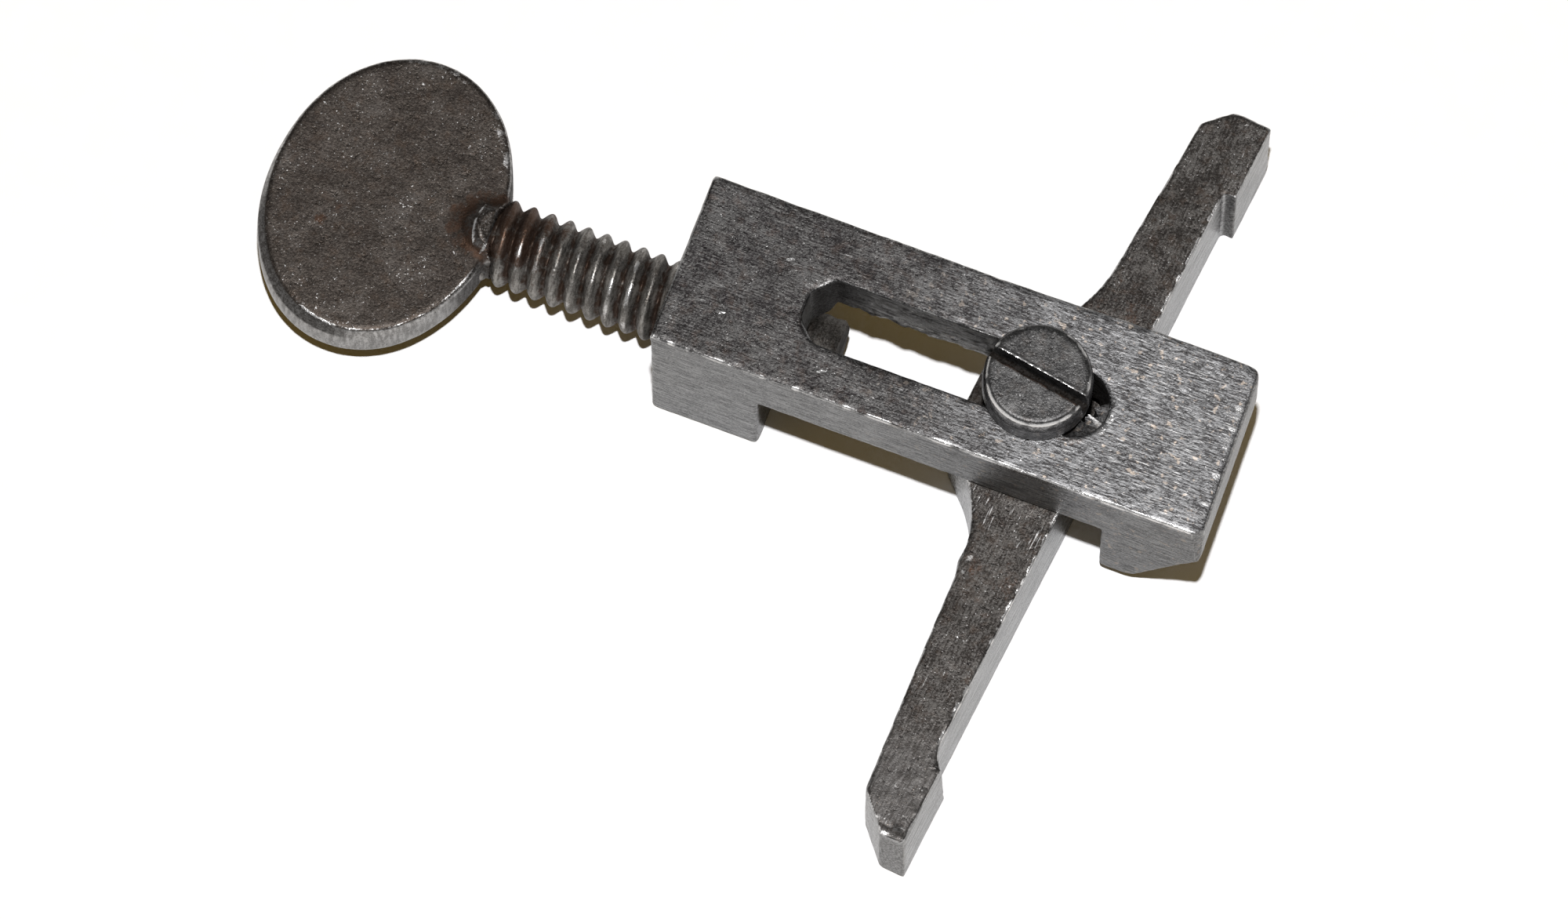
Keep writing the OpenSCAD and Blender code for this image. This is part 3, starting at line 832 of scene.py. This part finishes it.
def make_retaining_screw():
    """A cheese-head screw with a painted highlight on its worn rim and painted shade in its torn driver slot."""
    screw = clay(screw_mesh(), VOXEL["retaining_screw"])
    screw.smooth(1)
    x, y, z = screw.points.T
    rolled = rise(z, HEAD_TOP - 1.2, HEAD_TOP - 0.7) * fall(y, -1.5, 1.5)
    to_rim = np.clip((np.hypot(x, y) - HEAD_R + RIM_ROLL_WIDTH) / RIM_ROLL_WIDTH, 0, 1)
    screw.points[:, 2] -= rolled * RIM_ROLL * to_rim ** 2
    screw.age(61, waves=0.015, nicks=0.07)
    # The driver's slot is torn on its near edge and burred on its far one.
    beside = y * math.cos(DRIVER_TURN) - x * math.sin(DRIVER_TURN)
    near_top = rise(z, HEAD_TOP - 0.4, HEAD_TOP - 0.1)
    near_edge = hump(beside, -DRIVER_HALF, 0.35) * near_top
    screw.points[:, 1] -= near_edge * 0.16 * screw.patchy(0.2, 1, 0.6, 63)
    far_edge = hump(beside, DRIVER_HALF + 0.06, 0.22) * near_top
    burr = screw.patchy(0.7, 0.9, 0.55, 64)
    screw.points[:, 2] += far_edge * DRIVER_BURR * burr
    # The driver's slot is painted dark inside, as shade.
    in_slot = band(beside, 0, DRIVER_HALF + 0.06, 0.1) * rise(z, HEAD_BOTTOM, HEAD_BOTTOM + 1)
    screw.mark("grime_and_shade", in_slot * fall(z, HEAD_TOP - 0.3, HEAD_TOP - 0.1))
    screw.mark("grime_and_shade", 0.6 * near_edge)
    screw.mark("rust", near_edge)
    # The rim is worn in patches, and brighter on the near side as a painted highlight.
    rim = hump(np.hypot(x, y), HEAD_R - 0.3, 0.26) * rise(z, HEAD_TOP - 0.5, HEAD_TOP - 0.3)
    used = screw.patchy(0.45 + 0.5 * fall(y, -3, 1), 0.6, 0.6, 62)
    out_of_slot = 1 - in_slot * fall(z, HEAD_TOP - 0.3, HEAD_TOP - 0.15)
    screw.layers["wear_and_highlight"] = np.maximum(rim * used, far_edge * burr) * out_of_slot
    screw.points[:, :2] += PIVOT[:2]
    return place("worn_retaining_screw", screw, "retaining_screw", SCREW_STEEL)


# The thumbscrew


def thread_mesh():
    """The rod with a right-hand thread that has rounded crests and is worn down at the tip."""
    start = NECK_X - ROD_LET_IN
    along = np.linspace(start, ROD_END, round((ROD_END - start) / ROD_STEP) + 1)
    x, turn = np.meshgrid(along, np.arange(ROD_STEPS) / ROD_STEPS, indexing="ij")
    phase = ((x - FIRST_CREST) / PITCH - turn) % 1
    crest = (0.5 - 0.5 * np.cos(math.pi * np.abs(2 * phase - 1))) ** CREST_POWER
    depth = THREAD_DEPTH * fall(x, ROD_END - 5.0, ROD_END - 1.5) + THREAD_LEFT
    radius = CREST - depth * (1 - crest) - TIP_CHAMFER * rise(x, ROD_END - 0.45, ROD_END)
    angle = 2 * math.pi * turn
    points = np.stack([x, radius * np.cos(angle), AXIS_Z + radius * np.sin(angle)], axis=2)
    shape = bmesh.new()
    rings = [[shape.verts.new(point) for point in ring] for ring in points]
    bridge(shape, rings)
    for ring in (rings[0], rings[-1]):
        middle = shape.verts.new(sum((vert.co for vert in ring), Vector()) / ROD_STEPS)
        for k in range(ROD_STEPS):
            shape.faces.new((ring[k], ring[k - 1], middle))
    return from_bmesh(shape)


def make_shank():
    """The threaded rod: roots and the part inside the frame darkened as painted shade and oil; rusty roots."""
    rod = Clay(thread_mesh(), VOXEL["screw_shank"])
    rod.push(0.03 * rod.cloud(0.9, 71) + 0.015 * rod.cloud(0.35, 72))
    x, y, z = rod.points.T
    out = np.hypot(y, z - AXIS_Z)
    in_block = rise(x, -4, 2)
    bright = rod.patchy(0.25, 0.5, 1.1, 73)
    rod.mark("wear_and_highlight", rise(out, CREST - 0.22, CREST) * bright * (1 - in_block))
    # The roots and the part inside the frame are painted darker, as shade and oily dirt.
    root = fall(out, CREST - 0.6, CREST - 0.25)
    rod.mark("grime_and_shade", 0.4 * root + 0.7 * in_block)
    by_plate = fall(x, NECK_X + 2, NECK_X + 7) * (1 - 0.8 * fall(y, -3, -1.6))
    rod.mark("rust", np.maximum(by_plate, 0.8 * root * (1 - in_block)))
    return place("worn_shank", rod, "screw_shank", SHANK_STEEL)


def plate_mesh():
    """The bevelled oval, with the swelling set into it."""
    # Each ring of the rim: its inset, how much more where the bevel is widest, and its height.
    rim = [
        (0.42, 0.6, PLATE_TOP), (0.2, 0.56, PLATE_TOP - 0.08), (0.06, 0.5, PLATE_TOP - 0.25),
        (0.0, 0.1, PLATE_TOP - 1.1), (0, 0, PLATE_TOP - 2),
        (0, 0, PLATE_BOTTOM + 1), (0.12, 0, PLATE_BOTTOM + 0.35), (0.5, 0, PLATE_BOTTOM),
    ]
    cos, sin = math.cos(OVAL_SKEW), math.sin(OVAL_SKEW)
    shape = bmesh.new()
    rings = []
    for inset, more, height in rim:
        ring = []
        for k in range(OVAL_STEPS):
            a = 2 * math.pi * k / OVAL_STEPS
            gone = inset + more * max(0, math.cos(a - BEVEL_MOST_AT)) ** BEVEL_POWER
            px, py = (OVAL_X - gone) * math.cos(a), (OVAL_Y - gone) * math.sin(a)
            x = OVAL_MIDDLE[0] + px * cos - py * sin
            y = OVAL_MIDDLE[1] + px * sin + py * cos
            ring.append(shape.verts.new((x, y, height)))
        rings.append(ring)
    bridge(shape, rings)
    shape.faces.new(rings[0])
    shape.faces.new(rings[-1])
    swelling = bmesh.ops.create_uvsphere(shape, u_segments=48, v_segments=32, radius=1)["verts"]
    bmesh.ops.scale(shape, vec=SWELLING, verts=swelling)
    bmesh.ops.translate(shape, vec=(NECK_X + 0.1, 0, AXIS_Z), verts=swelling)
    return from_bmesh(shape)


def from_neck(x, y, oval):
    """The distance from the neck, 1 on an oval of that half length and half width."""
    return np.hypot((x - NECK_X) / oval[0], y / oval[1])


def leaf_edges(y):
    """Where the leaf-shaped facet on the plate's swelling starts and ends along X."""
    y = np.clip(y, -3, 3)
    return NECK_X - 2.02 + 0.115 * (y - 0.3) ** 2, NECK_X - 0.55 - 0.065 * (y + 0.7) ** 2


def wear_and_highlight_plate(plate):
    """Painted highlights on the rim and on the swelling's facet, a bevel painted dark, rust round the swelling,
    and painted shade by the neck.
    """
    x, y, z = plate.points.T
    edge = plate.edges()
    around_x, around_y = (x - OVAL_MIDDLE[0]) / OVAL_X, (y - OVAL_MIDDLE[1]) / OVAL_Y
    outer = rise(np.hypot(around_x, around_y), 0.93, 0.95)
    turn = np.degrees(np.arctan2(around_y, around_x))
    # The rim: a narrow highlight painted on the near side where the rounding faces the lamp, a duller
    # painted highlight beyond, and the bevel painted dark for the dark it reflects.
    rubbed_and_highlit = np.clip(band(turn, -74, 44, 12) + 0.9 * hump(turn, -26, 32), 0, 1)
    rubbed_and_highlit *= plate.patchy(0.85, 0.4, 0.8, 83)
    tilt = np.degrees(np.arccos(np.clip(plate.normals()[:, 2], -1, 1)))
    highlight_line = rise(z, PLATE_TOP - 0.3, PLATE_TOP - 0.15) * rise(tilt, 4, 10) * fall(tilt, 24, 34)
    plate.mark("wear_and_highlight", outer * rubbed_and_highlit * highlight_line)
    bevel = fall(z, PLATE_TOP - 0.18, PLATE_TOP - 0.08) * rise(z, PLATE_TOP - 1.25, PLATE_TOP - 1)
    plate.mark("grime_and_shade", 0.85 * band(turn, -124, 52, 22) * bevel)
    far_rim_highlight = outer * rise(z, PLATE_TOP - 0.4, PLATE_TOP - 0.2) * band(turn, 90, 115, 20)
    plate.mark("wear_and_highlight", far_rim_highlight * plate.patchy(0.4, 0.25, 0.7, 84))
    # The swelling: highlights painted on the leaf's two edges, the leaf lightened as a painted
    # reflection, a painted glint, and a painted highlight on the rod's collar.
    plate.layers["wear_and_highlight"] *= 1 - fall(from_neck(x, y, SWELLING_FOOT), 1.05, 1.25)
    ridge, crease = leaf_edges(y)
    raised = rise(z, PLATE_TOP + 0.05, PLATE_TOP + 0.3)
    broken = plate.patchy(0.7, 0.5, 0.6, 82)
    plate.mark("wear_and_highlight", raised * hump(x, ridge, 0.2) * broken)
    plate.mark("wear_and_highlight", raised * hump(x, crease, 0.25) * fall(y, -1.2, 0.8) * broken)
    plate.mark("wear_and_highlight", 0.38 * raised * rise(x, ridge, ridge + 0.2) * fall(x, crease - 0.2, crease))
    spot = hump(x, crease - 0.1, 0.3) * hump(y, -1.8, 0.9) * rise(z, PLATE_TOP - 0.4, PLATE_TOP)
    plate.mark("wear_and_highlight", spot * broken)
    plate.mark("wear_and_highlight", edge * rise(x, NECK_X - 0.4, NECK_X) * fall(y, -0.5, 1.2))
    # Rust in a ring round the swelling and in two spots, darker beside it, and painted shade on the
    # rim's side by the neck.
    ring = from_neck(x, y, SWELLING_RUST)
    plate.mark("rust", 0.7 * hump(ring, 1.0, 0.5) + 0.5 * hump(ring, 0.7, 0.5))
    for spot_x, spot_y in RUST_SPOTS:
        plate.mark("rust", hump(np.hypot(x - spot_x, y - spot_y), 0, 0.9))
    plate.mark("grime_and_shade", 0.35 * hump(ring, 1.05, 0.3) * rise(z, PLATE_TOP - 0.3, PLATE_TOP - 0.1))
    edge_face = rise(x, NECK_X - 3, NECK_X - 1.2) * fall(z, PLATE_TOP - 0.55, PLATE_TOP - 0.25)
    plate.mark("grime_and_shade", 0.8 * edge_face * band(y, 0, 8, 3))


def make_thumb_plate():
    """The oval thumb plate with a bevelled rim, and the swelling that takes the rod."""
    plate = clay(plate_mesh(), VOXEL["thumb_plate"])
    plate.smooth(1)
    plate.points[:, 0] = np.minimum(plate.points[:, 0], NECK_X + 0.25)
    # The swelling runs out into the plate, with a ridge across it and a facet down to the thread.
    x, y, z = plate.points.T
    foot = hump(from_neck(x, y, SWELLING_FOOT), 1.0, 0.6)
    plate.smooth(40, foot * rise(z, PLATE_TOP - 1.2, PLATE_TOP - 0.4))
    ridge, crease = leaf_edges(y)
    facet = AXIS_Z + RIDGE_HEIGHT - FACET_SLOPE * np.maximum(x - ridge, 0)
    facet -= CREASE_SLOPE * np.maximum(x - crease, 0)
    on_swelling = (z > AXIS_Z) & (np.abs(y) < 3.3)
    plate.points[:, 2] = np.where(on_swelling, np.minimum(z, facet), z)
    plate.age(81, waves=0.04, nicks=0.06)
    wear_and_highlight_plate(plate)
    return place("worn_thumb_plate", plate, "thumb_plate", PLATE_STEEL, SHARP)


make_frame()
make_crossbar()
make_retaining_screw()
make_shank()
make_thumb_plate()


# Floor, light and camera

PAPER = (0.96, 0.965, 0.98), (0.975, 0.98, 0.995)
FIBRES = 400  # to the metre
BRIGHT_SIDE = (0.1, -0.995, 0)
WALLS_DIM, CEILING = 0.5, (0.22, 0.22, 0.22)
SHADOW_FILL = (0.122, 0.082, 0.022)
WHITE = (1, 1, 1)
CAMERA_AZIMUTH, CAMERA_ELEVATION = math.radians(20.89), math.radians(73)
CAMERA_TARGET, CAMERA_DISTANCE = (8.97, -12.55, 18.39), 1229.6
CAMERA_SENSOR, CAMERA_LENS = 36, 360
LAMP_DISTANCE = 1230
LAMP_UP, LAMP_RIGHT = 0.145, 0.001
LAMP_STRENGTH, LAMP_COLOUR = 3.27, (0.995, 0.995, 1.005)
LAMP_SIZE = 0.012  # of its distance


def make_floor():
    """A wide white sheet under the object."""
    bpy.ops.mesh.primitive_plane_add(size=4, location=(0, 0, 0))
    floor = bpy.context.object
    floor.name = "paper"
    s = Nodes(bpy.data.materials.new("paper"))
    fibre = s.noise(s.mapped((FIBRES,) * 3), 1.0, 2, 0.55)
    colour = s.mix(s.ramp(fibre, 0.3, 0.7), *PAPER)
    inputs = {"Base Color": colour, "Roughness": 0.9, "Specular IOR Level": 0.0}
    s.node("OutputMaterial", {"Surface": s.node("BsdfPrincipled", inputs).outputs[0]})
    floor.data.materials.append(s.owner)


def make_world():
    """A white room for camera and reflections, dimmer overhead, with a warm fill in shadows."""
    world = bpy.data.worlds.new("room")
    bpy.context.scene.world = world
    s = Nodes(world)
    way = s.where.outputs["Generated"]
    towards = s.node("VectorMath", {0: way, 1: BRIGHT_SIDE}, operation="DOT_PRODUCT")
    walls = s.ramp(towards.outputs["Value"], 0.1, 0.75, WALLS_DIM, 1.0, "LINEAR")
    room = s.mix(s.ramp(s.axis(way, "Z"), 0.1, 0.8), walls, CEILING)
    path = s.node("LightPath")
    lit = s.mix(path.outputs["Is Diffuse Ray"], room, SHADOW_FILL)
    seen = s.mix(path.outputs["Is Camera Ray"], lit, WHITE)
    back = s.node("Background", {"Color": seen, "Strength": 1.0})
    s.node("OutputWorld", {"Surface": back.outputs[0]})
    world.cycles.sampling_method = "NONE"


def make_camera_and_lamp():
    """The photograph's camera, and one soft lamp close to it and a little higher."""
    level = math.cos(CAMERA_ELEVATION)
    away = Vector((
        math.sin(CAMERA_AZIMUTH) * level,
        -math.cos(CAMERA_AZIMUTH) * level,
        math.sin(CAMERA_ELEVATION),
    ))
    right = Vector((math.cos(CAMERA_AZIMUTH), math.sin(CAMERA_AZIMUTH), 0))
    up = away.cross(right)
    target = Vector(CAMERA_TARGET) * MM
    data = bpy.data.cameras.new("camera")
    data.sensor_width, data.lens = CAMERA_SENSOR, CAMERA_LENS
    data.clip_start, data.clip_end = 0.01, 10
    camera = bpy.data.objects.new("camera", data)
    bpy.context.scene.collection.objects.link(camera)
    camera.location = target + away * CAMERA_DISTANCE * MM
    camera.rotation_mode = "QUATERNION"
    camera.rotation_quaternion = (-away).to_track_quat("-Z", "Y")
    bpy.context.scene.camera = camera
    reach = LAMP_DISTANCE * MM
    lamp_data = bpy.data.lights.new("lamp", "POINT")
    lamp_data.energy = LAMP_STRENGTH * 4 * math.pi * reach ** 2
    lamp_data.color = LAMP_COLOUR
    lamp_data.shadow_soft_size = LAMP_SIZE * reach
    lamp = bpy.data.objects.new("lamp", lamp_data)
    bpy.context.scene.collection.objects.link(lamp)
    lamp.location = target + reach * (away + LAMP_UP * up + LAMP_RIGHT * right).normalized()


make_floor()
make_world()
make_camera_and_lamp()
bpy.context.scene.view_settings.view_transform = "Standard"
